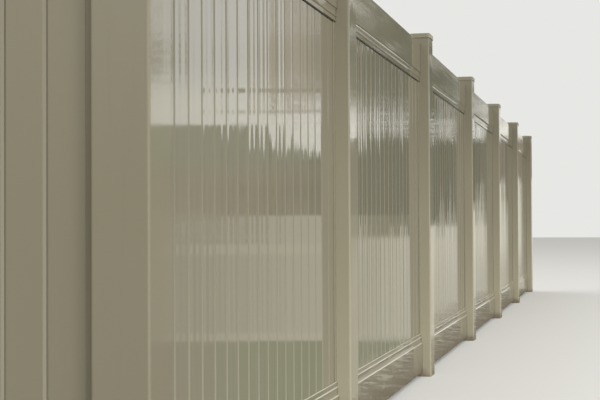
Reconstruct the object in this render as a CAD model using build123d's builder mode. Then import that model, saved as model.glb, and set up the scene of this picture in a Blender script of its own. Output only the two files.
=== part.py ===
from build123d import *
from math import atan2, degrees
import os

# Vinyl privacy fence: six bays in a straight run and one bay that turns the corner.
# Hollow square posts, routed for the rails, carry stepped rails; the rails hold a
# tongue-and-groove board infill in their slots, and edge channels close it at the posts.
# The origin is on the ground at the middle of the corner post. The run goes along +X with
# its outer side towards -Y, and the return bay goes along +Y. Lengths are in millimetres.

# Layout
bay_pitch = 1905.0
run_bays = 6
ground_gap = 20.0
infill_height = 1237.0

# Posts
post_width = 127.0
post_wall = 3.8
post_corner_radius = 7.5
inner_corner = 3.4
post_rise = 45.0
foot_clear = 4.0

# Rails: a stepped section with a slot for the boards
rail_height = 192.0
rail_width = 42.0
rail_wall = 2.6
rail_corner_radius = 3.0
rail_embed = 25.0
rail_fit = 0.4
ledge_rise = 3.0
band_inset = 3.0
band_depth = 49.0
band_cove = 1.2
lip_inset = 2.5
lip_depth = 20.0
lip_bevel = 1.6
slot_depth = 38.0

# Board infill
board_thickness = 22.0
board_fit = 0.3
board_head_gap = 8.0
board_end_gap = 5.0
strip_pitch = 94.6
run_first_groove = 65.0
return_first_groove = 121.0
vee_width = 13.0
vee_depth = 4.2

# Edge channels
channel_reach = 30.0
channel_wall = 1.8
channel_head_gap = 0.5

# Caps
cap_wall = 3.0
cap_fit = 0.35
cap_skirt = 18.0
cap_plate = 4.0
cap_crown = 8.0
cap_crown_flat = 44.0
cap_edge = 1.2
cap_margin = 4.0

# Heights that follow
bottom_rail_foot = ground_gap
boards_foot = bottom_rail_foot + rail_height
boards_head = boards_foot + infill_height
top_rail_head = boards_head + rail_height
post_height = top_rail_head + post_rise
foot_fill = ground_gap - foot_clear

# Half widths of the rail's three faces, from the broad face to the lip beside the boards
rail_half = rail_width / 2
band_half = rail_half - band_inset
lip_half = band_half - lip_inset
slot_half = board_thickness / 2 + board_fit

UP = Vector(0, 0, 1)
ALONG_RUN = Vector(1, 0, 0)
ALONG_RETURN = Vector(0, 1, 0)


def section_plane(start, direction, towards_boards):
    """A plane square to a rail, with its Y axis pointing from the rail's plain edge to the boards."""
    return Plane(origin=start, x_dir=towards_boards.cross(direction), z_dir=direction)


def rail_outline(fit=0.0, curved=True):
    """The stepped outline of a rail on the current sketch, widened all round by a fit.

    Where it isn't curved, its rounded corner and its cove are left straight, as a router cuts them.
    """
    lip_top = rail_height + fit
    broad_half = rail_half + fit
    foot_corner = (broad_half, -fit)
    band_foot = (band_half + fit, lip_top - band_depth + ledge_rise)
    band_head = (band_half + fit, lip_top - lip_depth)
    with BuildLine() as outline:
        if curved:
            round_start = (broad_half - rail_corner_radius, -fit)
            round_end = (broad_half, rail_corner_radius - fit)
            Line((0, -fit), round_start)
            RadiusArc(round_start, round_end, -rail_corner_radius)
            Polyline(round_end, (broad_half, lip_top - band_depth), band_foot)
            SagittaArc(band_foot, band_head, band_cove)
        else:
            Polyline((0, -fit), foot_corner, (broad_half, lip_top - band_depth), band_foot, band_head)
        Polyline(
            band_head,
            (lip_half + fit, lip_top - lip_depth + ledge_rise),
            (lip_half + fit, lip_top - lip_bevel),
            (lip_half + fit - lip_bevel, lip_top),
            (0, lip_top),
        )
        mirror(about=Plane.YZ)
    make_face(outline.edges())


def cornered_square(width, corner):
    """A square on the current sketch with its corners cut straight, for a bore that nothing shows."""
    square = Rectangle(width, width)
    chamfer(square.vertices(), corner)


def rail_starts(origin, direction):
    """The plain-edge point and the way to the boards of the two rails that leave a post's face."""
    face = origin + direction * (post_width / 2)
    return (face + UP * bottom_rail_foot, UP), (face + UP * top_rail_head, -UP)


def make_post(name, origin, sides):
    """A hollow post with a filled foot and two routed openings on each side that takes a bay."""
    bore = post_width - 2 * post_wall
    with BuildPart() as post:
        with BuildSketch(Plane(origin)):
            RectangleRounded(post_width, post_width, post_corner_radius)
        extrude(amount=post_height)
        with BuildSketch(Plane(origin + UP * foot_fill)):
            cornered_square(bore, inner_corner)
        extrude(amount=post_height - foot_fill, mode=Mode.SUBTRACT)
        for side in sides:
            for start, inward in rail_starts(origin, side):
                with BuildSketch(section_plane(start, side, inward)):
                    rail_outline(rail_fit, curved=False)
                extrude(amount=-2 * post_wall, mode=Mode.SUBTRACT)
    save(post, name)


def make_cap(name, origin):
    """A low crowned cap whose skirt fits over the post and whose underside rests on its top."""
    outer = post_width + 2 * (cap_fit + cap_wall)
    outer_radius = post_corner_radius + cap_fit + cap_wall
    pocket = post_width + 2 * cap_fit
    crown_foot = outer - 2 * (cap_edge + cap_margin)
    crown_taper = degrees(atan2((crown_foot - cap_crown_flat) / 2, cap_crown))
    seat = origin + UP * post_height
    with BuildPart() as cap:
        with BuildSketch(Plane(seat - UP * cap_skirt)):
            RectangleRounded(outer, outer, outer_radius)
        extrude(amount=cap_skirt + cap_plate)
        chamfer(cap.faces().sort_by(Axis.Z)[-1].edges(), cap_edge)
        with BuildSketch(Plane(seat + UP * cap_plate)):
            Rectangle(crown_foot, crown_foot)
        extrude(amount=cap_crown, taper=crown_taper)
        with BuildSketch(Plane(seat - UP * cap_skirt)):
            cornered_square(pocket, inner_corner)
        extrude(amount=cap_skirt, mode=Mode.SUBTRACT)
    save(cap, name)


def make_rail(name, face, direction, clear_length, level, inward):
    """A hollow stepped rail between two posts, with each end let into a routed opening."""
    start = face + UP * level - direction * rail_embed
    broad_chamber = (2 * (rail_half - rail_wall), rail_height - band_depth - 2 * rail_wall)
    narrow_chamber = (2 * (band_half - band_cove - rail_wall), rail_height - slot_depth - 2 * rail_wall)
    with BuildPart() as rail:
        with BuildSketch(section_plane(start, direction, inward)):
            rail_outline()
            with Locations((0, rail_height - slot_depth)):
                Rectangle(2 * slot_half, slot_depth, align=(Align.CENTER, Align.MIN), mode=Mode.SUBTRACT)
            with Locations((0, rail_wall)):
                for width, height in (broad_chamber, narrow_chamber):
                    Rectangle(width, height, align=(Align.CENTER, Align.MIN), mode=Mode.SUBTRACT)
        extrude(amount=clear_length + 2 * rail_embed)
    save(rail, name)


def make_infill(name, face, direction, clear_length, first_groove):
    """The locked boards of one bay as one sheet, with the vee grooves of both faces.

    The first groove is measured from the post's face, and the boards are cut to suit each bay.
    """
    end_clear = channel_wall + board_end_gap
    length = clear_length - 2 * end_clear
    foot = boards_foot - slot_depth
    head = boards_head + slot_depth - board_head_gap
    grooves = int((clear_length - first_groove - channel_reach) / strip_pitch) + 1
    plan = Plane(origin=face + UP * foot, x_dir=direction, z_dir=UP)
    with BuildPart() as infill:
        with BuildSketch(plan):
            with Locations((end_clear, 0)):
                Rectangle(length, board_thickness, align=(Align.MIN, Align.CENTER))
            for groove in range(grooves):
                middle = first_groove + groove * strip_pitch
                for side in (1, -1):
                    with BuildLine():
                        Polyline(
                            (middle - vee_width / 2, side * board_thickness / 2),
                            (middle, side * (board_thickness / 2 - vee_depth)),
                            (middle + vee_width / 2, side * board_thickness / 2),
                            close=True,
                        )
                    make_face(mode=Mode.SUBTRACT)
        extrude(amount=head - foot)
    save(infill, name)


def make_channels(name, face, direction, clear_length):
    """The pair of channels that take the infill's upright edges, standing on the bottom rail."""
    inner = board_thickness + 2 * board_fit
    outer = inner + 2 * channel_wall
    length = infill_height - channel_head_gap
    with BuildPart() as channels:
        for post_face, away in ((face, direction), (face + direction * clear_length, -direction)):
            with BuildSketch(Plane(origin=post_face + UP * boards_foot, x_dir=away, z_dir=UP)):
                Rectangle(channel_reach, outer, align=(Align.MIN, Align.CENTER))
                with Locations((channel_wall, 0)):
                    Rectangle(channel_reach, inner, align=(Align.MIN, Align.CENTER), mode=Mode.SUBTRACT)
            extrude(amount=length)
    save(channels, name)


def make_bay(prefix, origin, direction, first_groove):
    """Everything between one post and the next: two rails, the infill and its edge channels."""
    face = origin + direction * (post_width / 2)
    clear_length = bay_pitch - post_width
    make_rail(prefix + "_bottom_rail", face, direction, clear_length, bottom_rail_foot, UP)
    make_rail(prefix + "_top_rail", face, direction, clear_length, top_rail_head, -UP)
    make_infill(prefix + "_board_infill", face, direction, clear_length, first_groove)
    make_channels(prefix + "_edge_channels", face, direction, clear_length)


def save(piece, name):
    piece.part.label = name
    export_step(piece.part, f"parts/{name}.step")


os.makedirs("parts", exist_ok=True)

# Posts and caps of the run, from the corner post to the end post
for number in range(run_bays + 1):
    place = ALONG_RUN * (bay_pitch * number)
    if number == 0:
        post_name = "corner_post"
        routed_sides = (ALONG_RUN, ALONG_RETURN)
    elif number == run_bays:
        post_name = "end_post"
        routed_sides = (-ALONG_RUN,)
    else:
        post_name = f"line_post_{number}"
        routed_sides = (-ALONG_RUN, ALONG_RUN)
    make_post(post_name, place, routed_sides)
    make_cap(post_name + "_cap", place)

for number in range(run_bays):
    make_bay(f"bay_{number + 1}", ALONG_RUN * (bay_pitch * number), ALONG_RUN, run_first_groove)

# The return bay and its post
return_place = ALONG_RETURN * bay_pitch
make_post("return_post", return_place, (-ALONG_RETURN,))
make_cap("return_post_cap", return_place)
make_bay("return_bay", Vector(0, 0, 0), ALONG_RETURN, return_first_groove)
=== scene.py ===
import math

import bmesh
import bpy
from mathutils import Matrix, Vector


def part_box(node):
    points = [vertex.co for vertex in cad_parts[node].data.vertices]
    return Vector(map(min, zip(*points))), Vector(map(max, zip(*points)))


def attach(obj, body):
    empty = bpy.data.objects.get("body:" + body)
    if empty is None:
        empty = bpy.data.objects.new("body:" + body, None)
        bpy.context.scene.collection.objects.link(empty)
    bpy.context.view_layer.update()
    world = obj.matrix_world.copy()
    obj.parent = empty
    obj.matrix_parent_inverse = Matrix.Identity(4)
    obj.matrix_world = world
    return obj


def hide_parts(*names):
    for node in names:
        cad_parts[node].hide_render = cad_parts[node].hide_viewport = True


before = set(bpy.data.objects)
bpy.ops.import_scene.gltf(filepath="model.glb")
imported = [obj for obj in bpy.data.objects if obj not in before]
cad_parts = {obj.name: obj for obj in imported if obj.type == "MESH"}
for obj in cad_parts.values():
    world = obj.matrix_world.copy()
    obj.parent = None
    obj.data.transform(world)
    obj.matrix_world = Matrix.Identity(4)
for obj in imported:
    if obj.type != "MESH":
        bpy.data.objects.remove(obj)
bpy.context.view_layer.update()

# A run of tan vinyl privacy fence: six bays in line and one bay that turns the corner.
# Lengths are in metres and angles in radians, unless a comment says otherwise. A bay's pieces are
# made along X from the face of its first post, and are then turned and moved into place.

MM = 0.001
WHOLE_TURN = 2 * math.pi
QUARTER_TURN = math.pi / 2

# Sizes read from the frame
post_low, post_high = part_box("corner_post")
next_post_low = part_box("line_post_1")[0]
cap_low, cap_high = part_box("corner_post_cap")
rail_low, rail_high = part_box("bay_1_bottom_rail")
top_rail_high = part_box("bay_1_top_rail")[1]
infill_low, infill_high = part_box("bay_1_board_infill")
channel_low, channel_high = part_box("bay_1_edge_channels")

POST_WIDTH = post_high.x - post_low.x
POST_HEIGHT = post_high.z
BAY_PITCH = next_post_low.x - post_low.x
CLEAR_LENGTH = BAY_PITCH - POST_WIDTH
RAIL_WIDTH = rail_high.y - rail_low.y
RAIL_HEIGHT = rail_high.z - rail_low.z
RAIL_EMBED = post_high.x - rail_low.x
BOTTOM_RAIL_FOOT = rail_low.z
TOP_RAIL_HEAD = top_rail_high.z
BOARD_THICKNESS = infill_high.y - infill_low.y
BOARDS_START = infill_low.x - post_high.x
BOARDS_STOP = infill_high.x - post_high.x
CHANNEL_THICKNESS = channel_high.y - channel_low.y
CHANNEL_LENGTH = channel_high.z - channel_low.z
CAP_WIDTH = cap_high.x - cap_low.x

# Post details
POST_CORNER_RADIUS = 7.5 * MM
POST_WALL = 3.8 * MM
ROUTED_FIT = 0.4 * MM
POST_ROWS = 18

# Rail details, measured as on a rail that lies with its plain edge down and its slot up
RAIL_CORNER_RADIUS = 3.0 * MM
BAND_INSET = 3.0 * MM
BAND_DEPTH = 49.0 * MM
BAND_COVE = 1.2 * MM
LIP_INSET = 2.5 * MM
LIP_DEPTH = 20.0 * MM
LEDGE_RISE = 3.0 * MM
LEDGE_ROUND = 0.8 * MM
LIP_ROUND = 2.6 * MM
SLOT_ROUND = 0.5 * MM
SLOT_DEPTH = 38.0 * MM
SLOT_FIT = 1.2 * MM
RAIL_ROWS = 30

# Board details
STRIP_PITCH = 94.6 * MM
STRIPS_A_BOARD = 3
STRIPS_BEFORE_FIRST_GROOVE = 2
RUN_FIRST_GROOVE = 65.0 * MM
RETURN_FIRST_GROOVE = 121.0 * MM
VEE_WIDTH = 13.0 * MM
VEE_DEPTH = 4.2 * MM
SHOULDER_ROUND = 1.5 * MM
TONGUE_REACH = 6.0 * MM
TONGUE_HALF = 3.0 * MM
TONGUE_ROUND = 0.8 * MM
JOINT_GAP = 0.3 * MM
STRIP_COLUMNS = 14
BOARD_ROWS = 26
BOARD_BOW = 0.22 * MM
BOARD_TWIST = 0.26 * MM
BOARD_FLUTING = 0.16 * MM

# How the strips differ: the spread of their random shares, its drift with height, and its leanings
RANDOM_SPREAD = 4.0
RANDOM_DRIFT = 0.5
BOW_LEANING = -0.6
FLUTING_LEANING = 0.6

# Seeds of the strips' random bow, twist and fluting
BAY_SEED = 13.7
STRIP_SEED = 7.31
FACE_SEED = 5.0
TWIST_SEED = 41.0
FLUTING_SEED = 83.0

# Channel and cap details
CHANNEL_REACH = 30.0 * MM
CHANNEL_WALL = 1.8 * MM
CHANNEL_ROUND = 0.7 * MM
CHANNEL_ROWS = 12
CAP_WALL = 3.0 * MM
CAP_PLATE = 4.0 * MM
CAP_EDGE_ROUND = 1.6 * MM
CAP_FOOT_ROUND = 0.4 * MM
CAP_CORNER_RADIUS = 10.8 * MM
DOME_INSET = 3.5 * MM

# Smoothness of rounded corners, and the angle past which an edge stays sharp
ARC_STEP = math.radians(12)
SHARP_ANGLE = math.radians(34)

# A corner that turns less than this is straight, and points nearer than this are one
STRAIGHT_ANGLE = 1e-6
SAME_PLACE = 1e-6

# The camera's place, its heading from the run, its rise above level and its tilt to one side, and
# the lens and the sensor's width in millimetres
CAMERA_PLACE = Vector((-2.3650, -0.9481, 0.7561))
CAMERA_HEADING = 0.2474
CAMERA_RISE = 0.0185
CAMERA_TILT = -0.0046
CAMERA_LENS = 75.0
CAMERA_SENSOR = 36.0


# Outlines

def arc_points(corner, before, after, radius):
    """The points of the round that replaces one corner of an outline."""
    into = (corner - before).normalized()
    out_of = (after - corner).normalized()
    turn = into.angle_signed(out_of)
    if radius <= 0 or abs(turn) < STRAIGHT_ANGLE:
        return [corner]
    reach = radius * math.tan(abs(turn) / 2)
    side = -1 if turn > 0 else 1
    inward = Vector((-into.y, into.x)) * side
    start = corner - into * reach
    centre = start + inward * radius
    steps = max(2, math.ceil(abs(turn) / ARC_STEP))
    points = []
    for step in range(steps + 1):
        angle = -turn * step / steps
        points.append(centre + Matrix.Rotation(angle, 2) @ (start - centre))
    return points


def rounded_outline(corners):
    """A closed outline from corners given as (u, v, radius)."""
    places = [Vector((u, v)) for u, v, radius in corners]
    outline = []
    for index, place in enumerate(places):
        after = places[(index + 1) % len(places)]
        outline.extend(arc_points(place, places[index - 1], after, corners[index][2]))
    return outline


def square_outline(half, radius):
    """A square about the origin with rounded corners."""
    corners = ((half, half), (-half, half), (-half, -half), (half, -half))
    return rounded_outline([(u, v, radius) for u, v in corners])


def rail_outline(grow=0.0):
    """The stepped section of a rail with its plain edge on v = 0, or its opening where it is grown."""
    broad = RAIL_WIDTH / 2 + grow
    band = RAIL_WIDTH / 2 - BAND_INSET + grow
    lip = RAIL_WIDTH / 2 - BAND_INSET - LIP_INSET + grow
    head = RAIL_HEIGHT + grow
    band_foot = head - BAND_DEPTH + LEDGE_RISE
    band_head = head - LIP_DEPTH
    side = [
        (broad, -grow, RAIL_CORNER_RADIUS),
        (broad, head - BAND_DEPTH, LEDGE_ROUND),
        (band, band_foot, LEDGE_ROUND),
    ]
    cove_steps = 8
    for step in range(1, cove_steps):
        share = step / cove_steps
        hollow = BAND_COVE * 4 * share * (1 - share)
        side.append((band - hollow, band_foot + (band_head - band_foot) * share, 0.0))
    side += [
        (band, band_head, LEDGE_ROUND),
        (lip, band_head + LEDGE_RISE, LEDGE_ROUND),
        (lip, head, LIP_ROUND),
    ]
    if grow == 0.0:
        slot_half = BOARD_THICKNESS / 2 + SLOT_FIT
        side += [(slot_half, head, SLOT_ROUND), (slot_half, head - SLOT_DEPTH, 0.0)]
    other_side = [(-u, v, radius) for u, v, radius in reversed(side)]
    return rounded_outline(side + other_side)


def board_outline():
    """The plan of one board: strips parted by vees, a tongue at one edge and a pocket at the other."""
    half = BOARD_THICKNESS / 2
    vee = VEE_WIDTH / 2
    width = STRIP_PITCH * STRIPS_A_BOARD
    face = [(JOINT_GAP / 2, half - VEE_DEPTH, 0.0)]
    for strip in range(STRIPS_A_BOARD):
        start = strip * STRIP_PITCH + vee
        stop = (strip + 1) * STRIP_PITCH - vee
        face.append((start, half, SHOULDER_ROUND))
        for column in range(1, STRIP_COLUMNS):
            face.append((start + (stop - start) * column / STRIP_COLUMNS, half, 0.0))
        face.append((stop, half, SHOULDER_ROUND))
        if strip < STRIPS_A_BOARD - 1:
            face.append(((strip + 1) * STRIP_PITCH, half - VEE_DEPTH, 0.0))
    face.append((width - JOINT_GAP / 2, half - VEE_DEPTH, 0.0))
    tongue = [
        (width - JOINT_GAP / 2, TONGUE_HALF, 0.0),
        (width + TONGUE_REACH, TONGUE_HALF, TONGUE_ROUND),
        (width + TONGUE_REACH, -TONGUE_HALF, TONGUE_ROUND),
        (width - JOINT_GAP / 2, -TONGUE_HALF, 0.0),
    ]
    pocket_half = TONGUE_HALF + JOINT_GAP
    pocket_reach = TONGUE_REACH + JOINT_GAP * 2
    pocket = [
        (JOINT_GAP / 2, -pocket_half, 0.0),
        (pocket_reach, -pocket_half, 0.0),
        (pocket_reach, pocket_half, 0.0),
        (JOINT_GAP / 2, pocket_half, 0.0),
    ]
    back = [(u, -v, radius) for u, v, radius in reversed(face)]
    return rounded_outline(face + tongue + back + pocket)


def channel_outline():
    """The plan of one edge channel, with its web on u = 0 and its two lips pointing along u."""
    outer = CHANNEL_THICKNESS / 2
    inner = outer - CHANNEL_WALL
    side = [
        (0.0, -outer, 0.0),
        (CHANNEL_REACH, -outer, CHANNEL_ROUND),
        (CHANNEL_REACH, -inner, CHANNEL_ROUND),
        (CHANNEL_WALL, -inner, 0.0),
    ]
    other_side = [(u, -v, radius) for u, v, radius in reversed(side)]
    return rounded_outline(side + other_side)


# Meshes

def add_rings(shape, rings, close_ends=True):
    """Skins a list of point rings that all have as many points, and closes both ends."""
    made = [[shape.verts.new(point) for point in ring] for ring in rings]
    count = len(made[0])
    for lower, upper in zip(made, made[1:]):
        for index in range(count):
            after = (index + 1) % count
            shape.faces.new((lower[index], lower[after], upper[after], upper[index]))
    if close_ends:
        shape.faces.new(made[0])
        shape.faces.new(made[-1])


def upright_rings(outline, foot, head, rows):
    """Rings of a plan outline from a foot level to a head level."""
    levels = [foot + (head - foot) * row / rows for row in range(rows + 1)]
    return [[Vector((point.x, point.y, level)) for point in outline] for level in levels]


def lengthways_rings(outline, start, stop, rows):
    """Rings of a section outline, its u across the bay and its v up, along the bay's length."""
    places = [start + (stop - start) * row / rows for row in range(rows + 1)]
    return [[Vector((place, point.x, point.y)) for point in outline] for place in places]


def mesh_from(shape, name):
    """A mesh of a finished shape, with its faces turned outwards."""
    bmesh.ops.remove_doubles(shape, verts=shape.verts, dist=SAME_PLACE)
    bmesh.ops.recalc_face_normals(shape, faces=shape.faces)
    mesh = bpy.data.meshes.new(name)
    shape.to_mesh(mesh)
    shape.free()
    return mesh


def add_object(name, data):
    """An object in the scene with the given mesh, camera or light."""
    made = bpy.data.objects.new(name, data)
    bpy.context.scene.collection.objects.link(made)
    return made


def evaluated_mesh(piece):
    """The piece's mesh with its modifiers in it, as a plain mesh."""
    graph = bpy.context.evaluated_depsgraph_get()
    return bpy.data.meshes.new_from_object(piece.evaluated_get(graph), depsgraph=graph)


def shade(mesh):
    """Smooth shading with crisp edges, where the broad faces keep their true direction."""
    mesh.shade_smooth()
    mesh.set_sharp_from_angle(angle=SHARP_ANGLE)
    holder = add_object("shading_holder", mesh)
    weighted = holder.modifiers.new("broad_faces_first", "WEIGHTED_NORMAL")
    weighted.keep_sharp = True
    weighted.weight = 100
    shaded = evaluated_mesh(holder)
    bpy.data.objects.remove(holder)
    return shaded


def place_piece(name, mesh, matrix, node, material):
    """Puts a finished mesh in its place under the root body, and hides the node that it stands for."""
    placed = mesh.copy()
    placed.transform(matrix)
    placed.name = name
    placed.materials.clear()
    placed.materials.append(material)
    piece = add_object(name, placed)
    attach(piece, "root")
    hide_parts(node)


# Node helpers

def feed(socket, source):
    """Links a socket to the one that feeds it, or sets its value. A tone has three shares of light."""
    if isinstance(source, bpy.types.NodeSocket):
        socket.id_data.links.new(source, socket)
    elif socket.type == "RGBA":
        socket.default_value = (*source, 1.0)
    else:
        socket.default_value = source


def add_node(kind, inputs, tree=None, **settings):
    """A node with its settings, and its inputs given as values or as the sockets that feed them.

    It goes into the node tree of those sockets. Where there are none, the node tree is given.
    """
    sockets = [source for source in inputs.values() if isinstance(source, bpy.types.NodeSocket)]
    made = (tree or sockets[0].id_data).nodes.new(kind)
    for key, value in settings.items():
        setattr(made, key, value)
    for key, source in inputs.items():
        feed(made.inputs[key], source)
    return made


def calc(operation, *values):
    """One step of arithmetic, as its output socket."""
    inputs = dict(enumerate(values))
    return add_node("ShaderNodeMath", inputs, operation=operation).outputs[0]


def times(first, second):
    return calc("MULTIPLY", first, second)


def plus(first, second):
    return calc("ADD", first, second)


def minus(first, second):
    return calc("SUBTRACT", first, second)


def apart(first, second):
    """How far two values are apart."""
    return calc("ABSOLUTE", minus(first, second))


def vector_of(x, y=0.0, z=0.0):
    return add_node("ShaderNodeCombineXYZ", {0: x, 1: y, 2: z}).outputs[0]


def parts_of(vector):
    """The x, y and z of a vector, as three sockets."""
    return add_node("ShaderNodeSeparateXYZ", {0: vector}).outputs[:3]


def ramp(value, start, stop, low=0.0, high=1.0, soft=True):
    """Carries a value from one range to another, and holds it at both ends."""
    inputs = {"Value": value, "From Min": start, "From Max": stop, "To Min": low, "To Max": high}
    style = "SMOOTHSTEP" if soft else "LINEAR"
    return add_node("ShaderNodeMapRange", inputs, interpolation_type=style).outputs[0]


def past(value, edge, softness):
    """0 before an edge and 1 past it, with a soft step of the given half width."""
    return ramp(minus(value, edge), -softness, softness)


def short_of(value, edge, softness):
    """1 before an edge and 0 past it, with a soft step of the given half width."""
    return ramp(minus(value, edge), softness, -softness)


def between(value, start, full, fading, stop):
    """1 within a span and 0 outside it, rising from start to full and falling from fading to stop."""
    return times(ramp(value, start, full), ramp(value, stop, fading))


def stepped(value, base, *steps):
    """A base amount plus the change of each (start, stop, change) that the value has passed."""
    total = base
    for start, stop, change in steps:
        total = plus(total, ramp(value, start, stop, 0.0, change))
    return total


def noise(vector, scale, detail=2.0, roughness=0.5):
    """Soft noise about 0.5, with its finer detail."""
    inputs = {"Vector": vector, "Scale": scale, "Detail": detail, "Roughness": roughness}
    return add_node("ShaderNodeTexNoise", inputs).outputs[0]


def mix(share, first, second):
    """The first colour with a share of the second, by the sockets that a colour mix uses."""
    return add_node("ShaderNodeMix", {0: share, 6: first, 7: second}, data_type="RGBA").outputs[2]


def new_group(name, kind, inputs, outputs):
    """A node group with its sockets' names by kind, as its node tree, its givens and its results."""
    tree = bpy.data.node_groups.new(name, kind)
    for way, sockets in (("INPUT", inputs), ("OUTPUT", outputs)):
        for socket_kind, socket_names in sockets.items():
            for socket_name in socket_names:
                tree.interface.new_socket(socket_name, in_out=way, socket_type="NodeSocket" + socket_kind)
    return tree, tree.nodes.new("NodeGroupInput").outputs, tree.nodes.new("NodeGroupOutput").inputs


# Shader groups

# Patches of paler vinyl, faint runs of rain, and where it has been handled
PATCH_SCALE = 1.7
RAIN_SCALE = 34.0
RAIN_STRETCH = 0.035
HANDLED_SCALE = 6.0
HANDLED_DULLING = 0.02

# Dirt splashed up at the foot, with a ragged upper edge
SPLASH_SCALE = 11.0
SPLASH_RAGGEDNESS = 0.16
SPLASH_MOST = 0.62
SPLASH_DULLING = 0.35

# Levels between which painted light makes the vinyl paler towards its foot
FOOT_LIGHT_START = 1.60
FOOT_LIGHT_FULL = 0.20

# Grooves are painted darker as painted shade, and their tone grows paler towards the foot. A groove is
# told by its nearness to the boards' middle
GROOVE_LIP = 10.9 * MM
GROOVE_BED = 10.2 * MM
GROOVE_SHADE_TONE = (0.148, 0.135, 0.096)
GROOVE_FOOT_TONE = (0.325, 0.306, 0.230)

# Painted shade under the lip of the top rail
LIP_SHADE_LEVEL = TOP_RAIL_HEAD - RAIL_HEIGHT + 1.2 * MM
LIP_SHADE_REACH = 4.2 * MM
LIP_SHADE_CORE = 2.2 * MM
LIP_SHADE_TONE = (0.030, 0.026, 0.018)

# Painted highlight on the lip and the two ledges of the bottom rail, which face up
HIGHLIGHT_LEVELS = (
    BOTTOM_RAIL_FOOT + RAIL_HEIGHT - 0.5 * MM,
    BOTTOM_RAIL_FOOT + RAIL_HEIGHT - LIP_DEPTH + 1.5 * MM,
    BOTTOM_RAIL_FOOT + RAIL_HEIGHT - BAND_DEPTH + 1.5 * MM,
)
HIGHLIGHT_REACH = 2.6 * MM
HIGHLIGHT_CORE = 1.7 * MM
HIGHLIGHT_TONE = (0.500, 0.472, 0.372)


def make_tone_group():
    """Vinyl that has stood outside, with painted light and shade on it: its colour, and how dull its
    gloss is.
    """
    tree, given, result = new_group(
        "weathered_and_painted_tone",
        "ShaderNodeTree",
        {
            "Vector": ["Vector"],
            "Color": ["Tone", "Faded Tone", "Dirt Tone", "Foot Light Tone"],
            "Float": [
                "Patches", "Rain Runs", "Dirt Height", "Painted Foot Light",
                "Groove Shade", "Lip Shade", "Ledge Highlight", "Gloss Roughness",
            ],
        },
        {"Color": ["Color"], "Float": ["Roughness"]},
    )
    place = given["Vector"]
    x, y, z = parts_of(place)
    slow = noise(place, PATCH_SCALE, detail=3.0)
    patch_share = times(ramp(slow, 0.35, 0.7), given["Patches"])
    faded = mix(patch_share, given["Tone"], given["Faded Tone"])

    run_place = vector_of(x, y, times(z, RAIN_STRETCH))
    runs = ramp(noise(run_place, RAIN_SCALE, detail=4.0, roughness=0.6), 0.52, 0.78)
    run_share = times(runs, given["Rain Runs"])
    rained = mix(run_share, faded, given["Dirt Tone"])

    # Painted light: the tone grows paler towards the foot, as if lit from the ground
    lowness = ramp(z, FOOT_LIGHT_START, FOOT_LIGHT_FULL, soft=False)
    foot_light_share = times(lowness, given["Painted Foot Light"])
    tone_with_painted_light = mix(foot_light_share, rained, given["Foot Light Tone"])

    # Painted shade in the grooves, paler towards the foot
    from_middle = calc("MINIMUM", calc("ABSOLUTE", x), calc("ABSOLUTE", y))
    groove = ramp(from_middle, GROOVE_LIP, GROOVE_BED)
    groove_shade_share = times(groove, given["Groove Shade"])
    groove_tone = mix(lowness, GROOVE_SHADE_TONE, GROOVE_FOOT_TONE)
    tone_with_painted_light = mix(groove_shade_share, tone_with_painted_light, groove_tone)

    # Painted shade: a near-black band under the top rail's lip
    lip_shade = ramp(apart(z, LIP_SHADE_LEVEL), LIP_SHADE_REACH, LIP_SHADE_CORE)
    tone_with_painted_light = mix(times(lip_shade, given["Lip Shade"]), tone_with_painted_light, LIP_SHADE_TONE)

    # Painted highlight: a pale tone on the bottom rail's lip and ledges
    nearest = apart(z, HIGHLIGHT_LEVELS[0])
    for highlight_level in HIGHLIGHT_LEVELS[1:]:
        nearest = calc("MINIMUM", nearest, apart(z, highlight_level))
    ledge_highlight_share = times(ramp(nearest, HIGHLIGHT_REACH, HIGHLIGHT_CORE), given["Ledge Highlight"])
    tone_with_painted_light = mix(ledge_highlight_share, tone_with_painted_light, HIGHLIGHT_TONE)

    height_noise = noise(place, SPLASH_SCALE, detail=5.0, roughness=0.65)
    level = plus(z, times(minus(height_noise, 0.5), SPLASH_RAGGEDNESS))
    splash = ramp(level, given["Dirt Height"], 0.0, 0.0, SPLASH_MOST)
    splashed = mix(splash, tone_with_painted_light, given["Dirt Tone"])
    feed(result["Color"], splashed)

    dulled = calc("MULTIPLY_ADD", splash, SPLASH_DULLING, given["Gloss Roughness"])
    handled = ramp(noise(place, HANDLED_SCALE, detail=3.0), 0.4, 0.75)
    dulled = calc("MULTIPLY_ADD", handled, HANDLED_DULLING, dulled)
    feed(result["Roughness"], dulled)
    return tree


def make_skin_group():
    """The height of an extruded skin: waves drawn out along the extrusion, over a fine orange peel."""
    tree, given, result = new_group(
        "extruded_skin",
        "ShaderNodeTree",
        {"Vector": ["Vector", "Wave Stretch"], "Float": ["Wave Scale", "Peel Scale", "Peel Share"]},
        {"Float": ["Height"]},
    )
    stretched = add_node(
        "ShaderNodeVectorMath",
        {0: given["Vector"], 1: given["Wave Stretch"]},
        operation="MULTIPLY",
    ).outputs[0]
    waves = noise(stretched, given["Wave Scale"])
    peel = noise(given["Vector"], given["Peel Scale"], detail=1.0)
    height = calc("MULTIPLY_ADD", peel, given["Peel Share"], waves)
    feed(result["Height"], height)
    return tree


TONE_GROUP = make_tone_group()
SKIN_GROUP = make_skin_group()

VINYL_TONE = (0.246, 0.225, 0.155)
# Painted shade: the line posts get a darker tone than the corner post
LINE_POST_SHADED_TONE = (0.200, 0.184, 0.128)
BOARD_TONE = (0.212, 0.194, 0.133)
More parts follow.
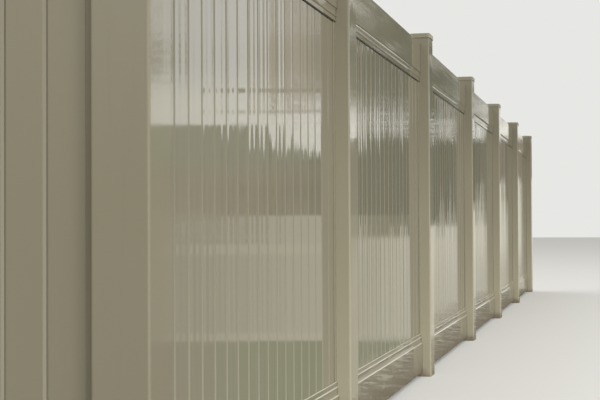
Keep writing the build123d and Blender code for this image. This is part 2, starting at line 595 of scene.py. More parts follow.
# The faded tone serves both the random paler patches and the painted light at the foot of boards and
# rails; the two tones after it are painted light at the foot alone
FADED_AND_FOOT_LIGHT_TONE = (0.262, 0.245, 0.177)
FOOT_LIGHT_TONE = (0.408, 0.378, 0.275)
CHANNEL_FOOT_LIGHT_TONE = (0.300, 0.278, 0.198)
# Painted shade for the return bay's channels in the corner
SHADED_TONE = (0.205, 0.185, 0.120)
DIRT_TONE = (0.115, 0.083, 0.052)
VINYL_IOR = 1.5
PEEL_SCALE = 420.0


def vinyl(
    name,
    stretch,
    wave_scale,
    wave_depth,
    gloss,
    tone=VINYL_TONE,
    foot_light_tone=FOOT_LIGHT_TONE,
    patches=0.5,
    rain=0.10,
    dirt_height=0.14,
    peel=0.05,
    foot_light=0.0,
    grooves=0.0,
    lip_shade=0.0,
    ledge_highlight=0.0,
):
    """A glossy tan vinyl. Its waves are drawn out along the way where the stretch is small."""
    material = bpy.data.materials.new(name)
    material.use_nodes = True
    tree = material.node_tree
    tree.nodes.clear()
    place = tree.nodes.new("ShaderNodeTexCoord").outputs["Object"]
    # Weathering together with painted light and shade: a paler foot, darker grooves and lip, and pale
    # ledges
    weather_and_painted_light = {
        "Vector": place,
        "Tone": tone,
        "Faded Tone": FADED_AND_FOOT_LIGHT_TONE,
        "Dirt Tone": DIRT_TONE,
        "Patches": patches,
        "Rain Runs": rain,
        "Dirt Height": dirt_height,
        "Foot Light Tone": foot_light_tone,
        "Painted Foot Light": foot_light,
        "Groove Shade": grooves,
        "Lip Shade": lip_shade,
        "Ledge Highlight": ledge_highlight,
        "Gloss Roughness": gloss,
    }
    tone_group_outputs = add_node("ShaderNodeGroup", weather_and_painted_light, node_tree=TONE_GROUP).outputs
    waviness = {
        "Vector": place,
        "Wave Stretch": stretch,
        "Wave Scale": wave_scale,
        "Peel Scale": PEEL_SCALE,
        "Peel Share": peel,
    }
    skin = add_node("ShaderNodeGroup", waviness, node_tree=SKIN_GROUP).outputs["Height"]
    relief = {"Strength": 1.0, "Distance": wave_depth, "Height": skin}
    finish = {
        "Base Color": tone_group_outputs["Color"],
        "Roughness": tone_group_outputs["Roughness"],
        "Normal": add_node("ShaderNodeBump", relief).outputs[0],
        "IOR": VINYL_IOR,
    }
    surface = add_node("ShaderNodeBsdfPrincipled", finish)
    add_node("ShaderNodeOutputMaterial", {"Surface": surface.outputs[0]})
    return material


# How much a wave is squeezed along X, Y and Z, by the way that a piece was extruded
UPRIGHT = (1.0, 1.0, 0.06)
LENGTHWAYS_RUN = (0.06, 1.0, 1.0)
LENGTHWAYS_RETURN = (1.0, 0.06, 1.0)
MOULDED = (1.0, 1.0, 1.0)

post_skin = {"wave_scale": 30.0, "wave_depth": 0.10 * MM, "gloss": 0.035, "dirt_height": 0.05}
# Line posts take painted shade in their darker tone and painted light at the foot; the corner post takes
# neither
post_vinyl = vinyl("post_vinyl", UPRIGHT, tone=LINE_POST_SHADED_TONE, patches=0.3, foot_light=1.0, **post_skin)
corner_post_vinyl = vinyl("corner_post_vinyl", UPRIGHT, **post_skin)
cap_vinyl = vinyl(
    "cap_vinyl", MOULDED, wave_scale=22.0, wave_depth=0.12 * MM, gloss=0.22, rain=0.22, dirt_height=0.0,
)

rail_skin = {"wave_scale": 34.0, "wave_depth": 0.36 * MM, "gloss": 0.04}
# Rails take painted light at the foot, painted shade under the top rail's lip, and a painted highlight on
# the bottom rail's lip and ledges
rail_weather_and_painted_light = {"tone": BOARD_TONE, "foot_light_tone": FADED_AND_FOOT_LIGHT_TONE, "foot_light": 1.0, "lip_shade": 1.0, "ledge_highlight": 1.0}
rail_vinyl = vinyl("rail_vinyl", LENGTHWAYS_RUN, **rail_skin, **rail_weather_and_painted_light)
return_rail_vinyl = vinyl("return_rail_vinyl", LENGTHWAYS_RETURN, **rail_skin, **rail_weather_and_painted_light)

board_skin = {"wave_scale": 46.0, "wave_depth": 0.03 * MM, "gloss": 0.03, "peel": 0.02, "patches": 0.3}
# Run boards take painted light at the foot, and painted shade in their grooves and under the top rail's
# lip
board_vinyl = vinyl(
    "board_vinyl", UPRIGHT,
    tone=BOARD_TONE, foot_light_tone=FADED_AND_FOOT_LIGHT_TONE, foot_light=1.0, grooves=1.0, lip_shade=1.0, **board_skin,
)
# Return boards take lighter painted shade in their grooves, and painted shade under the top rail's lip
return_board_vinyl = vinyl("return_board_vinyl", UPRIGHT, grooves=0.4, lip_shade=1.0, **board_skin)

channel_skin = {"wave_scale": 40.0, "wave_depth": 0.10 * MM, "gloss": 0.16}
# Channels take painted light at their foot
channel_vinyl = vinyl(
    "channel_vinyl", UPRIGHT, foot_light_tone=CHANNEL_FOOT_LIGHT_TONE, foot_light=1.0, **channel_skin,
)
# The return bay's channels take a darker tone as painted shade in the corner
return_channel_vinyl = vinyl("return_channel_vinyl", UPRIGHT, tone=SHADED_TONE, **channel_skin)

# The finishes of a bay's rails, channels and boards
RUN_FINISHES = (rail_vinyl, channel_vinyl, board_vinyl)
RETURN_FINISHES = (return_rail_vinyl, return_channel_vinyl, return_board_vinyl)


# Posts

def rail_cutters(sides):
    """The two routed openings of each side, as one shape, for a post that stands on the origin."""
    shape = bmesh.new()
    outline = rail_outline(ROUTED_FIT)
    half = POST_WIDTH / 2
    for side in sides:
        turn = Matrix.Rotation(side, 4, "Z")
        lift_bottom = Matrix.Translation((0, 0, BOTTOM_RAIL_FOOT))
        lift_top = Matrix.Translation((0, 0, TOP_RAIL_HEAD)) @ Matrix.Diagonal((1, 1, -1, 1))
        for lift in (lift_bottom, lift_top):
            rings = lengthways_rings(outline, half - 2 * POST_WALL, half + POST_WALL, 1)
            add_rings(shape, [[turn @ lift @ point for point in ring] for ring in rings])
    return mesh_from(shape, "routed_openings")


def post_mesh(sides):
    """A hollow post with rounded corners and a routed opening for each rail."""
    outer = square_outline(POST_WIDTH / 2, POST_CORNER_RADIUS)
    inner = square_outline(POST_WIDTH / 2 - POST_WALL, POST_CORNER_RADIUS - POST_WALL)
    shape = bmesh.new()
    outside = upright_rings(outer, 0.0, POST_HEIGHT, POST_ROWS)
    inside = upright_rings(inner, 0.0, POST_HEIGHT, 1)
    loops = outside + inside[::-1] + outside[:1]
    add_rings(shape, loops, close_ends=False)
    post = add_object("post_blank", mesh_from(shape, "post_blank"))
    cutters = add_object("post_cutters", rail_cutters(sides))
    routing = post.modifiers.new("routing", "BOOLEAN")
    routing.operation = "DIFFERENCE"
    routing.solver = "EXACT"
    routing.object = cutters
    mesh = shade(evaluated_mesh(post))
    bpy.data.objects.remove(post)
    bpy.data.objects.remove(cutters)
    return mesh


def cap_mesh():
    """A moulded cap: skirt, rounded edge and a low dome, hollow under its plate."""
    outer = CAP_WIDTH / 2
    seat = POST_HEIGHT
    foot = cap_low.z
    plate_top = seat + CAP_PLATE
    crown = cap_high.z - plate_top
    pocket = outer - CAP_WALL
    rings = []

    def ring(half, radius, level):
        rings.append([Vector((point.x, point.y, level)) for point in square_outline(half, radius)])

    middle_share = 0.2
    ring(pocket * middle_share, POST_CORNER_RADIUS * middle_share, seat)
    ring(pocket, POST_CORNER_RADIUS, seat)
    ring(pocket, POST_CORNER_RADIUS, foot)
    ring(outer - CAP_FOOT_ROUND, CAP_CORNER_RADIUS, foot)
    ring(outer, CAP_CORNER_RADIUS, foot + CAP_FOOT_ROUND)
    edge_steps = 5
    for step in range(edge_steps + 1):
        angle = QUARTER_TURN * step / edge_steps
        inset = CAP_EDGE_ROUND * (1 - math.cos(angle))
        ring(outer - inset, CAP_CORNER_RADIUS - inset, plate_top - CAP_EDGE_ROUND * (1 - math.sin(angle)))
    dome_half = outer - CAP_EDGE_ROUND - DOME_INSET
    dome_steps = 12
    dome_roundness = 0.9
    most_rounded = 0.98
    for step in range(dome_steps):
        share = step / dome_steps
        half = dome_half * (1 - share)
        radius = (CAP_CORNER_RADIUS - CAP_EDGE_ROUND) * (1 - share) + half * dome_roundness * share
        ring(half, min(radius, half * most_rounded), plate_top + crown * (1 - (1 - share) ** 2))
    shape = bmesh.new()
    add_rings(shape, rings)
    return shade(mesh_from(shape, "cap"))


def make_posts():
    """Every post with its cap."""
    forward, leftward, backward, rightward = 0.0, QUARTER_TURN, 2 * QUARTER_TURN, 3 * QUARTER_TURN
    meshes = {
        "corner_post": post_mesh((forward, leftward)),
        "line_post": post_mesh((forward, backward)),
        "end_post": post_mesh((backward,)),
        "return_post": post_mesh((rightward,)),
    }
    cap = cap_mesh()
    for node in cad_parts:
        if "post" not in node or node.endswith("_cap"):
            continue
        kind = "line_post" if node.startswith("line_post") else node
        low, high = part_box(node)
        middle = (low + high) / 2
        stand = Matrix.Translation((middle.x, middle.y, 0.0))
        finish = corner_post_vinyl if node == "corner_post" else post_vinyl
        place_piece("shown_" + node, meshes[kind], stand, node, finish)
        place_piece("shown_" + node + "_cap", cap, stand, node + "_cap", cap_vinyl)


# Rails and channels

def rail_mesh():
    """A stepped rail that lies with its plain edge on z = 0, from one routed opening to the next."""
    shape = bmesh.new()
    add_rings(shape, lengthways_rings(rail_outline(), -RAIL_EMBED, CLEAR_LENGTH + RAIL_EMBED, RAIL_ROWS))
    return shade(mesh_from(shape, "rail"))


def channels_mesh():
    """The pair of channels that take the boards' upright edges."""
    shape = bmesh.new()
    foot = channel_low.z
    outline = channel_outline()
    flipped = [Vector((CLEAR_LENGTH - point.x, point.y)) for point in reversed(outline)]
    for plan in (outline, flipped):
        add_rings(shape, upright_rings(plan, foot, foot + CHANNEL_LENGTH, CHANNEL_ROWS))
    return shade(mesh_from(shape, "channels"))


# Boards

def board_mesh():
    """One board, standing with its first joint on x = 0."""
    shape = bmesh.new()
    add_rings(shape, upright_rings(board_outline(), infill_low.z, infill_high.z, BOARD_ROWS))
    return mesh_from(shape, "board")


def make_board_tree():
    """Repeats a board along a bay and gives every strip its own bow, twist and fluting."""
    tree, given, result = new_group(
        "board_run",
        "GeometryNodeTree",
        {
            "Geometry": ["Board"],
            "Int": ["Boards"],
            "Float": ["Board Pitch", "First Joint", "Strip Pitch", "Bow", "Twist", "Fluting", "Seed"],
            "Material": ["Material"],
        },
        {"Geometry": ["Boards"]},
    )
    start = vector_of(given["First Joint"])
    step = vector_of(given["Board Pitch"])
    line = add_node(
        "GeometryNodeMeshLine",
        {"Count": given["Boards"], "Start Location": start, "Offset": step},
        mode="OFFSET",
        count_mode="TOTAL",
    )
    repeated = {"Points": line.outputs[0], "Instance": given["Board"]}
    placed = add_node("GeometryNodeInstanceOnPoints", repeated)
    real = add_node("GeometryNodeRealizeInstances", {"Geometry": placed.outputs[0]})

    x, y, z = parts_of(tree.nodes.new("GeometryNodeInputPosition").outputs[0])
    from_joint = minus(x, given["First Joint"])
    along = calc("DIVIDE", from_joint, given["Strip Pitch"])
    strip = calc("FLOOR", along)
    across = calc("MULTIPLY_ADD", calc("FRACT", along), 2.0, -1.0)
    face_side = calc("SIGN", y)
    key = plus(times(strip, STRIP_SEED), given["Seed"])
    slow_height = times(z, RANDOM_DRIFT)

    def wandering(seed):
        """A slow random value about 0 that changes from strip to strip and drifts with height."""
        vector = vector_of(plus(key, seed), times(face_side, FACE_SEED), slow_height)
        return calc("MULTIPLY_ADD", noise(vector, 1.0, detail=0.0), RANDOM_SPREAD, -RANDOM_SPREAD / 2)

    hump = minus(1.0, times(across, across))
    bow = times(times(hump, given["Bow"]), plus(wandering(0.0), BOW_LEANING))
    lean = times(times(hump, across), given["Twist"])
    lean = times(lean, wandering(TWIST_SEED))
    flute = calc("COSINE", times(across, WHOLE_TURN))
    flute = times(times(flute, hump), given["Fluting"])
    flute = times(flute, plus(wandering(FLUTING_SEED), FLUTING_LEANING))
    push = plus(plus(bow, lean), flute)
    outward = times(push, face_side)
    offset = {"Geometry": real.outputs[0], "Offset": vector_of(0.0, outward)}
    moved = add_node("GeometryNodeSetPosition", offset)
    finish = {"Geometry": moved.outputs[0], "Material": given["Material"]}
    finished = add_node("GeometryNodeSetMaterial", finish)
    feed(result["Boards"], finished.outputs[0])
    return tree


def trim(shape, place, outward):
    """Cuts away what lies past a place along the bay, on its outward side, and closes the cut."""
    geometry = shape.verts[:] + shape.edges[:] + shape.faces[:]
    cut = bmesh.ops.bisect_plane(
        shape, geom=geometry, plane_co=(place, 0, 0), plane_no=(outward, 0, 0), clear_outer=True
    )
    edges = [item for item in cut["geom_cut"] if isinstance(item, bmesh.types.BMEdge)]
    bmesh.ops.edgeloop_fill(shape, edges=edges)


def infill_mesh(tree, board, first_groove, seed, finish):
    """The boards of one bay, cut to fit between its channels."""
    pitch = STRIP_PITCH * STRIPS_A_BOARD
    first_joint = first_groove - STRIPS_BEFORE_FIRST_GROOVE * STRIP_PITCH
    count = math.ceil((BOARDS_STOP - first_joint) / pitch)
    holder = add_object("board_holder", board)
    layout = holder.modifiers.new("board_run", "NODES")
    layout.node_group = tree
    values = {
        "Boards": count,
        "Board Pitch": pitch,
        "First Joint": first_joint,
        "Strip Pitch": STRIP_PITCH,
        "Bow": BOARD_BOW,
        "Twist": BOARD_TWIST,
        "Fluting": BOARD_FLUTING,
        "Seed": seed,
        "Material": finish,
    }
    for socket in tree.interface.items_tree:
        if socket.in_out == "INPUT" and socket.name in values:
            layout[socket.identifier] = values[socket.name]
    run = evaluated_mesh(holder)
    bpy.data.objects.remove(holder)
    shape = bmesh.new()
    shape.from_mesh(run)
    trim(shape, BOARDS_START, -1)
    trim(shape, BOARDS_STOP, 1)
    bmesh.ops.recalc_face_normals(shape, faces=shape.faces)
    shape.to_mesh(run)
    shape.free()
    return shade(run)


def make_bays():
    """The rails, boards and channels of every bay."""
    rail = rail_mesh()
    channels = channels_mesh()
    board = board_mesh()
    tree = make_board_tree()
    run_bays = sum(node.startswith("bay_") and node.endswith("_bottom_rail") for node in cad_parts)
    bays = []
    for number in range(run_bays):
        start = Matrix.Translation((BAY_PITCH * number + POST_WIDTH / 2, 0, 0))
        bays.append((f"bay_{number + 1}", start, RUN_FIRST_GROOVE, RUN_FINISHES))
    turned = Matrix.Translation((0, POST_WIDTH / 2, 0)) @ Matrix.Rotation(QUARTER_TURN, 4, "Z")
    bays.append(("return_bay", turned, RETURN_FIRST_GROOVE, RETURN_FINISHES))

    for number, (bay, start, first_groove, finishes) in enumerate(bays):
        rail_finish, channel_finish, board_finish = finishes
        standing = start @ Matrix.Translation((0, 0, BOTTOM_RAIL_FOOT))
        turned_over = start @ Matrix.Translation((0, 0, TOP_RAIL_HEAD)) @ Matrix.Rotation(math.pi, 4, "X")
        infill = infill_mesh(tree, board, first_groove, BAY_SEED * (number + 1), board_finish)
        for shown, mesh, place, node, slot, finish in (
            ("bottom_rail", rail, standing, "bottom_rail", "rail_vinyl", rail_finish),
            ("top_rail", rail, turned_over, "top_rail", "rail_vinyl", rail_finish),
            ("channels", channels, start, "edge_channels", "channel_vinyl", channel_finish),
            ("boards", infill, start, "board_infill", "board_vinyl", board_finish),
        ):
            place_piece(f"shown_{bay}_{shown}", mesh, place, f"{bay}_{node}", finish)


# Studio

FLOOR_REACH = 60.0
STUDIO_ROUGHNESS = 0.9
FLOOR_SEEN_TONE = (0.66, 0.655, 0.63)
FLOOR_BOUNCE_TONE = (0.14, 0.13, 0.11)
BACKGROUND_TONE = (0.80, 0.80, 0.78)
SOFT_LIGHT_TONE = (1.0, 0.99, 0.97)
SOFT_LIGHT_AT_HORIZON = 0.35
SOFT_LIGHT_OVERHEAD = 0.99

# The dark card that lies along the outer side and shows in the gloss alone. It has three widths,
# each held over a stretch of the run
FLOOR_CARD_LEVEL = 2 * MM
FLOOR_CARD_START = -0.30
FLOOR_CARD_STOP = 12.0
FLOOR_CARD_INNER_EDGE = -0.03
FLOOR_CARD_NARROW = -0.29
FLOOR_CARD_MIDDLE = -0.37
FLOOR_CARD_WIDE = -0.55
FLOOR_CARD_NARROW_TO = 3.2
FLOOR_CARD_MIDDLE_FROM = 4.0
FLOOR_CARD_MIDDLE_TO = 6.6
FLOOR_CARD_WIDE_FROM = 7.2
FLOOR_CARD_TONE = (0.125, 0.096, 0.068)
FLOOR_CARD_CHIP_TONE = (0.60, 0.575, 0.49)

# The cards all round that the gloss mirrors. Their levels and azimuths are in degrees: a level is the
# height above the horizon, and azimuth 0 looks along the run, with its outer side on the negative side.
MIRROR_STRENGTH = 1.75

# Tones of the upper cards
CARD_BRIGHT = (0.95, 0.95, 0.89)
CARD_HIGH = (0.74, 0.76, 0.77)
CARD_OVERHEAD = (0.90, 0.90, 0.88)
CARD_STREAK = (0.62, 0.61, 0.56)
CARD_RAIL_STREAK = (0.60, 0.59, 0.54)
CARD_FAR_RAIL_STREAK = (0.50, 0.487, 0.447)
CARD_LAST_RAIL_STREAK = (0.66, 0.648, 0.594)
CARD_BROKEN = (0.33, 0.290, 0.245)
CARD_SPECKLE = (0.110, 0.098, 0.078)
CARD_DARK = (0.150, 0.182, 0.140)
CARD_DARK_LOW = (0.190, 0.155, 0.122)
CARD_DARKEST = (0.045, 0.050, 0.038)

# Tones of the lower cards
CARD_LOW = (0.365, 0.346, 0.285)
CARD_LOW_SHADED = (0.190, 0.178, 0.142)
CARD_LOW_FAR = (0.400, 0.382, 0.320)
CARD_LOW_LIT = (0.490, 0.470, 0.400)
CARD_LOW_BESIDE_POST = (0.215, 0.205, 0.168)
CARD_LOW_LAST = (0.330, 0.315, 0.262)
CARD_LOW_DIM = (0.120, 0.118, 0.090)
CARD_LEDGE = (0.40, 0.385, 0.31)
CARD_FOOT = (0.110, 0.138, 0.080)
CARD_FOOT_NEAR = (0.135, 0.118, 0.098)
CARD_FLOOR = (0.100, 0.078, 0.055)
CARD_BELOW = (0.016, 0.014, 0.012)

# The even card on the other sides, and a pale one out beyond the corner
OUTER_CARDS_MIDDLE = -45.0
CARD_EVEN = (0.22, 0.21, 0.19)
CARD_SIDE_MIDDLE = -126.0
CARD_SIDE = (0.85, 0.84, 0.80)

# Levels at which the cards change, from high to low
OVERHEAD_HEAD = 34.0
OVERHEAD_FOOT = 24.0
STREAK_FOOT = 10.4
NEAR_RAIL_FOOT = 8.98
LIFT_HEAD = 7.2
UPPER_BAR = 6.07
LOWER_BAR = 5.10
NEAR_EDGE = 4.50
LIFT_FOOT = 4.50
FAR_EDGE = 4.10
LAST_EDGE = 3.78
DIPPED_EDGE = 3.25
FAR_RAIL_FOOT = 2.90
LAST_LOW_CARD_HEAD = 1.95
LOW_CARD_HEAD = 0.35
FAR_LOW_CARD_HEAD = -0.15
DIM_CARD_FOOT = -0.65
LEDGE_HEAD = -0.96
LEDGE_FOOT = -1.42
FOOT_LEDGE_HEAD = -5.00
LOW_CARD_FOOT = -5.36
CARD_FLOOR_HEAD = -8.60
CARD_BELOW_HEAD = -13.0

# How soft an edge between two cards is, in degrees
CRISP = 0.05
SOFT = 0.4
VERY_SOFT = 2.0

# Azimuths at which more than one card changes: where the mirror passes a post, or a whole bay
FIRST_BAY_END = (-12.8, -11.9)
SECOND_BAY_END = (-9.6, -8.4)
FOURTH_BAY = (-7.0, -5.4)


def studio_paint(name):
    """A dull paint, as its material, its node tree and its surface."""
    material = bpy.data.materials.new(name)
    material.use_nodes = True
    surface = material.node_tree.nodes["Principled BSDF"]
    surface.inputs["Roughness"].default_value = STUDIO_ROUGHNESS
    return material, material.node_tree, surface


def make_floor():
    """A plain pale floor that keeps the fence's shadow and throws little light back."""
    shape = bmesh.new()
    bmesh.ops.create_grid(shape, x_segments=8, y_segments=8, size=FLOOR_REACH)
    mesh = mesh_from(shape, "studio_floor")
    floor = add_object("studio_floor", mesh)
    floor.visible_glossy = False
    material, tree, surface = studio_paint("studio_floor_paint")
    seen = tree.nodes.new("ShaderNodeLightPath").outputs["Is Camera Ray"]
    feed(surface.inputs["Base Color"], mix(seen, FLOOR_BOUNCE_TONE, FLOOR_SEEN_TONE))
    surface.inputs["Specular IOR Level"].default_value = 0.0
    mesh.materials.append(material)


def make_floor_card():
    """A mottled dark card on the floor, seen only as it's mirrored in the rails and the boards' feet."""
    outline = [
        (FLOOR_CARD_START, FLOOR_CARD_NARROW),
        (FLOOR_CARD_NARROW_TO, FLOOR_CARD_NARROW),
        (FLOOR_CARD_MIDDLE_FROM, FLOOR_CARD_MIDDLE),
        (FLOOR_CARD_MIDDLE_TO, FLOOR_CARD_MIDDLE),
        (FLOOR_CARD_WIDE_FROM, FLOOR_CARD_WIDE),
        (FLOOR_CARD_STOP, FLOOR_CARD_WIDE),
        (FLOOR_CARD_STOP, FLOOR_CARD_INNER_EDGE),
        (FLOOR_CARD_START, FLOOR_CARD_INNER_EDGE),
    ]
    corners = [(along, across, FLOOR_CARD_LEVEL) for along, across in outline]
    mesh = bpy.data.meshes.new("studio_floor_card")
    mesh.from_pydata(corners, [], [tuple(range(len(corners)))])
    card = add_object("studio_floor_card", mesh)
    card.visible_camera = False
    card.visible_diffuse = False
    card.visible_shadow = False
    material, tree, surface = studio_paint("studio_floor_card_paint")
    place = tree.nodes.new("ShaderNodeTexCoord").outputs["Object"]
    across = parts_of(place)[1]
    chips = noise(place, 13.0, detail=6.0, roughness=0.72)
    edge = ramp(across, FLOOR_CARD_INNER_EDGE, FLOOR_CARD_WIDE, 0.54, 0.42)
    chip_share = ramp(chips, edge, plus(edge, 0.05))
    feed(surface.inputs["Base Color"], mix(chip_share, FLOOR_CARD_TONE, FLOOR_CARD_CHIP_TONE))
    mesh.materials.append(material)


def beside_post(azimuth):
    """The narrow span of azimuths that the first line post's outer side mirrors."""
    return between(azimuth, -12.4, -12.2, -11.5, -11.2)


def teeth_edge(azimuth):
    """The level of the bright card's foot: straight at first, then dipped and ragged along the run."""
    edge = stepped(
        azimuth, NEAR_EDGE,
        (-17.0, -14.0, DIPPED_EDGE - NEAR_EDGE),
        (-12.6, -11.4, FAR_EDGE - DIPPED_EDGE),
        (-10.4, -8.0, LAST_EDGE - FAR_EDGE),
    )
    tooth_place = vector_of(times(azimuth, 1.6))
    teeth = minus(noise(tooth_place, 1.0, detail=4.0, roughness=0.7), 0.5)
    tooth_reach = ramp(azimuth, -18.6, -15.6, 0.2, 3.4)
    return calc("MULTIPLY_ADD", teeth, tooth_reach, edge)


def dark_card(azimuth, level, drift):
    """The dark card under the bright one: mottled, browner low down, and almost black further along."""
    tide = calc("MULTIPLY_ADD", minus(drift, 0.5), 5.0, level)
    dark = mix(ramp(tide, 1.9, 3.1), CARD_DARK_LOW, CARD_DARK)
    mottle_place = vector_of(azimuth, times(level, 0.35), 3.0)
    mottle_most = ramp(azimuth, -19.5, -14.5, 0.35, 0.95)
    mottle = ramp(noise(mottle_place, 1.1, detail=4.0, roughness=0.65), 0.38, 0.62, 0.0, mottle_most)
    dark = mix(mottle, dark, CARD_DARKEST)
    dark = mix(ramp(azimuth, -15.0, -11.5), dark, CARD_DARKEST)
    return mix(ramp(azimuth, -5.9, -5.2, 0.0, 0.8), dark, CARD_DARK_LOW)


def opening_cover(azimuth, level, drift, streak):
    """How much of the bright card is covered by the broken one: little low down and more higher up."""
    drift_reach = ramp(azimuth, *FIRST_BAY_END, 5.0, 2.0)
    drifted = calc("MULTIPLY_ADD", minus(drift, 0.5), drift_reach, level)
    lift_foot = stepped(azimuth, LIFT_FOOT, (*FIRST_BAY_END, 0.5), (*SECOND_BAY_END, -0.4))
    lift_head = stepped(azimuth, LIFT_HEAD, (*FIRST_BAY_END, -1.0), (*SECOND_BAY_END, -0.8))
    lift = ramp(drifted, lift_foot, lift_head, soft=False)
    low_cover = stepped(
        azimuth, 0.0,
        (-17.0, -15.6, 0.36), (*FIRST_BAY_END, 0.26), (*FOURTH_BAY, -0.36),
    )
    high_cover = stepped(
        azimuth, 0.0,
        (-20.05, -20.45, 0.56), (-17.4, -14.8, 0.89), (*FIRST_BAY_END, 0.02), (*FOURTH_BAY, -0.25),
    )
    lifted = times(lift, minus(high_cover, low_cover))
    parted = ramp(level, 7.8, 9.0, 1.0, 0.74)
    thinned = times(calc("MULTIPLY_ADD", streak, -0.96, 1.0), parted)
    cover = times(plus(low_cover, lifted), thinned)
    cover_eased = ramp(level, 4.6, 6.0, -0.24, -0.10)
    return calc("MULTIPLY_ADD", beside_post(azimuth), cover_eased, cover)


def rail_openings(azimuth, above_boards):
    """The openings that the top rails mirror, drawn out along the run."""
    rows = times(above_boards, ramp(azimuth, -9.0, -5.5, 1.0, 2.0))
    line_place = vector_of(times(azimuth, 0.45), rows, 5.0)
    lines = noise(line_place, 1.15, detail=3.0, roughness=0.55)
    cover = stepped(
        azimuth, 0.62,
        (-11.6, -10.6, -0.05), (-9.2, -8.4, 0.03), (-7.7, -6.3, -0.125), (-5.6, -5.2, -0.05),
    )
    return past(lines, cover, 0.02)


def bright_card(azimuth, level, streak, in_rails):
    """The bright card's own tone: hazy, with two dark bars across the first bay and duller streaks."""
    haze_place = vector_of(azimuth, times(level, 1.3))
    haze = ramp(noise(haze_place, 0.9, detail=3.0), 0.42, 0.75, 0.0, 0.5)
    bright = mix(ramp(level, 5.2, 7.6), CARD_BRIGHT, CARD_HIGH)
    bright = mix(haze, bright, CARD_HIGH)
    bright = mix(streak, bright, CARD_STREAK)
    upper_bar = ramp(apart(level, UPPER_BAR), 0.14, 0.06)
    lower_bar = ramp(apart(level, LOWER_BAR), 0.11, 0.04, 0.0, 0.52)
    bars = times(plus(upper_bar, lower_bar), between(azimuth, -17.8, -16.4, -13.0, -12.8))
    bright = mix(bars, bright, CARD_DARK_LOW)
    rail_bright = mix(ramp(azimuth, -8.0, -6.2), CARD_RAIL_STREAK, CARD_FAR_RAIL_STREAK)
    rail_bright = mix(ramp(azimuth, -5.5, -5.1), rail_bright, CARD_LAST_RAIL_STREAK)
    bright = mix(in_rails, bright, rail_bright)
    return mix(ramp(level, OVERHEAD_FOOT, OVERHEAD_HEAD), bright, CARD_OVERHEAD)


def upper_cards(azimuth, level):
    """A bright card over a dark one, where a broken card covers more or less of the bright one."""
    drift_place = vector_of(azimuth, times(level, 0.5), 7.0)
    drift = noise(drift_place, 2.2, detail=5.0, roughness=0.7)
    streak_foot = stepped(azimuth, STREAK_FOOT, (-9.6, -8.0, -2.6), (-8.0, -6.0, -0.9))
    streak = ramp(minus(level, streak_foot), 0.0, 0.4)
    patch_place = vector_of(azimuth, times(level, 2.3))
    patches = ramp(noise(patch_place, 4.6, detail=8.0, roughness=0.74), 0.34, 0.66, soft=False)
    opened = past(patches, opening_cover(azimuth, level, drift, streak), 0.08)

    rail_level = ramp(azimuth, -12.0, -4.0, NEAR_RAIL_FOOT, FAR_RAIL_FOOT, soft=False)
    above_boards = minus(level, rail_level)
    in_rails = times(ramp(above_boards, 0.0, 0.3), ramp(azimuth, -12.3, -12.0))
    in_lines = minus(rail_openings(azimuth, above_boards), opened)
    opened = calc("MULTIPLY_ADD", in_rails, in_lines, opened)

    bright = bright_card(azimuth, level, streak, in_rails)
    covering = mix(ramp(azimuth, -14.2, -12.2), CARD_BROKEN, CARD_DARKEST)
    covering = mix(ramp(azimuth, -20.0, -20.4), covering, CARD_SPECKLE)
    dark = dark_card(azimuth, level, drift)
    above = past(level, teeth_edge(azimuth), CRISP)
    return mix(above, dark, mix(opened, covering, bright))


def lower_cards(azimuth, level, tips):
    """A pale card with a ledge along its head and its foot, over darker ones."""
    in_first_bay = ramp(azimuth, -12.0, -12.8)
    ledged = times(in_first_bay, ramp(azimuth, -21.0, -17.5))
    head = mix(ramp(azimuth, -15.8, -17.0), CARD_LOW, CARD_LOW_SHADED)
    ledge = short_of(level, LEDGE_HEAD, CRISP)
    head = mix(times(ledge, ledged), head, CARD_LEDGE)
    ripple_place = vector_of(times(azimuth, 0.9), times(level, 7.0))
    ripples = ramp(noise(ripple_place, 1.0), 0.44, 0.60, 0.0, 0.75)
    rippled = between(azimuth, -21.0, -19.5, -16.4, -15.6)
    head = mix(times(ripples, rippled), head, CARD_LOW)
    broad = mix(ramp(azimuth, -14.5, -21.0, soft=False), CARD_LOW, CARD_LOW_SHADED)
    tone = mix(short_of(level, LEDGE_FOOT, CRISP), head, broad)
    lit = times(ramp(azimuth, -9.4, -8.2), ramp(level, -4.0, -0.6))
    far = mix(lit, CARD_LOW_FAR, CARD_LOW_LIT)
    fall = times(ramp(azimuth, -6.6, -5.0), ramp(level, -0.8, -2.4))
    far = mix(fall, far, CARD_LOW_LAST)
    tone = mix(ramp(azimuth, -12.6, -12.3), tone, far)
    tone = mix(beside_post(azimuth), tone, CARD_LOW_BESIDE_POST)

    dim_foot = calc("MULTIPLY_ADD", tips, 0.5, DIM_CARD_FOOT)
    in_second_bay = between(azimuth, -12.6, -11.8, -9.2, -8.6)
    dimmed = times(in_second_bay, past(level, dim_foot, 0.15))
    tone = mix(dimmed, tone, CARD_LOW_DIM)

    foot_ledge = short_of(level, FOOT_LEDGE_HEAD, CRISP)
    tone = mix(times(foot_ledge, ledged), tone, CARD_LEDGE)
    foot = calc("MULTIPLY_ADD", minus(1.0, in_first_bay), tips, LOW_CARD_FOOT)
    foot_tone = mix(ramp(azimuth, -17.8, -19.6), CARD_FOOT, CARD_FOOT_NEAR)
    foot_share = times(short_of(level, foot, CRISP), minus(1.0, beside_post(azimuth)))
    tone = mix(foot_share, tone, foot_tone)
    tone = mix(short_of(level, CARD_FLOOR_HEAD, SOFT), tone, CARD_FLOOR)
    return mix(short_of(level, CARD_BELOW_HEAD, VERY_SOFT), tone, CARD_BELOW)


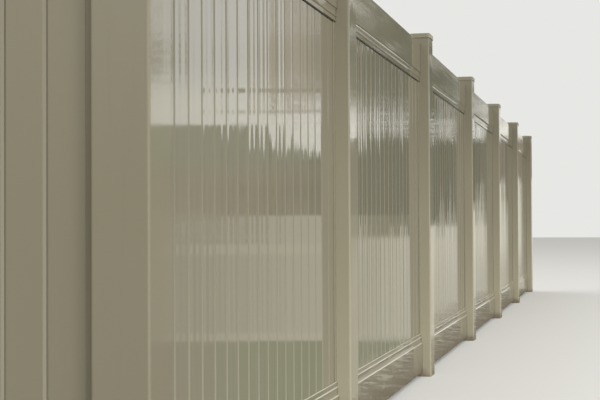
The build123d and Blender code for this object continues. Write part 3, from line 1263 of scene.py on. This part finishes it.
def outer_cards(azimuth, level):
    """What the outer side mirrors: the upper cards, and the lower ones with their ragged head."""
    tips_place = vector_of(times(azimuth, 2.2))
    tips = calc("MULTIPLY_ADD", noise(tips_place, 1.0, detail=3.0), 1.6, -0.8)
    parting = stepped(
        azimuth, LOW_CARD_HEAD,
        (-9.4, -8.6, FAR_LOW_CARD_HEAD - LOW_CARD_HEAD),
        (-7.6, -4.4, LAST_LOW_CARD_HEAD - FAR_LOW_CARD_HEAD),
    )
    parting = calc("MULTIPLY_ADD", ramp(azimuth, -9.4, -8.6), tips, parting)
    blur = ramp(azimuth, -17.6, -15.8, 0.45, CRISP)
    over = calc("DIVIDE", minus(level, parting), blur)
    upper = upper_cards(azimuth, level)
    lower = lower_cards(azimuth, level, tips)
    return mix(ramp(over, -1.0, 1.0), lower, upper)


def all_cards(azimuth, level):
    """The outer side's cards, an even card on the other sides, and a pale one out beyond the corner."""
    even = mix(ramp(level, -5.0, 30.0), CARD_EVEN, CARD_HIGH)
    past_outer_side = ramp(apart(azimuth, OUTER_CARDS_MIDDLE), 50.0, 58.0)
    cards = mix(past_outer_side, outer_cards(azimuth, level), even)
    to_side = ramp(apart(azimuth, CARD_SIDE_MIDDLE), 26.0, 20.0)
    side_share = times(to_side, ramp(level, -14.0, -6.0))
    return mix(side_share, cards, CARD_SIDE)


def background(tree, tone, strength):
    return add_node("ShaderNodeBackground", {"Color": tone, "Strength": strength}, tree).outputs[0]


def make_world():
    """An even soft light, a pale background and the cards that show in the gloss."""
    world = bpy.data.worlds.new("studio")
    bpy.context.scene.world = world
    world.use_nodes = True
    tree = world.node_tree
    tree.nodes.clear()
    x, y, z = parts_of(tree.nodes.new("ShaderNodeTexCoord").outputs["Generated"])
    level = calc("DEGREES", calc("ARCSINE", z))
    azimuth = calc("DEGREES", calc("ARCTAN2", y, x))
    mirrored = background(tree, all_cards(azimuth, level), MIRROR_STRENGTH)

    soft_rise = SOFT_LIGHT_OVERHEAD - SOFT_LIGHT_AT_HORIZON
    soft_level = calc("MULTIPLY_ADD", calc("MAXIMUM", z, 0.0), soft_rise, SOFT_LIGHT_AT_HORIZON)
    soft = background(tree, SOFT_LIGHT_TONE, soft_level)
    backdrop = background(tree, BACKGROUND_TONE, 1.0)
    rays = tree.nodes.new("ShaderNodeLightPath").outputs
    mirror_rays = calc("MAXIMUM", rays["Is Glossy Ray"], rays["Is Transmission Ray"])
    lit = add_node("ShaderNodeMixShader", {0: mirror_rays, 1: soft, 2: mirrored}).outputs[0]
    seen = add_node("ShaderNodeMixShader", {0: rays["Is Camera Ray"], 1: lit, 2: backdrop}).outputs[0]
    add_node("ShaderNodeOutputWorld", {"Surface": seen})


def make_softbox(name, place, aim, width, height, power):
    """A soft area light that points at a place on the fence."""
    data = bpy.data.lights.new(name, "AREA")
    data.shape = "RECTANGLE"
    data.size = width
    data.size_y = height
    data.energy = power
    lamp = add_object(name, data)
    lamp.location = place
    lamp.rotation_euler = (Vector(aim) - Vector(place)).to_track_quat("-Z", "Y").to_euler()
    lamp.visible_camera = False
    lamp.visible_glossy = False


def make_camera():
    """The camera of the photograph, as it was fitted to the posts, the rails and the board grooves."""
    data = bpy.data.cameras.new("camera")
    data.lens = CAMERA_LENS
    data.sensor_width = CAMERA_SENSOR
    camera = add_object("camera", data)
    turn = Matrix.Rotation(CAMERA_HEADING - QUARTER_TURN, 4, "Z")
    raise_up = Matrix.Rotation(QUARTER_TURN + CAMERA_RISE, 4, "X")
    tilt = Matrix.Rotation(CAMERA_TILT, 4, "Z")
    camera.matrix_world = Matrix.Translation(CAMERA_PLACE) @ turn @ raise_up @ tilt
    bpy.context.scene.camera = camera


make_camera()
make_posts()
make_bays()
make_floor()
make_floor_card()
make_world()
make_softbox("key_softbox", (-17.6, -11.9, 13.0), (1.0, 0.0, 0.8), width=16.0, height=12.0, power=5200.0)
make_softbox("front_softbox", (6.0, -17.0, 7.0), (5.5, 0.0, 0.8), width=18.0, height=8.0, power=1450.0)
make_softbox("back_softbox", (8.0, 16.0, 18.0), (5.0, 0.0, 0.8), width=28.0, height=18.0, power=1200.0)

bpy.context.scene.view_settings.view_transform = "Standard"
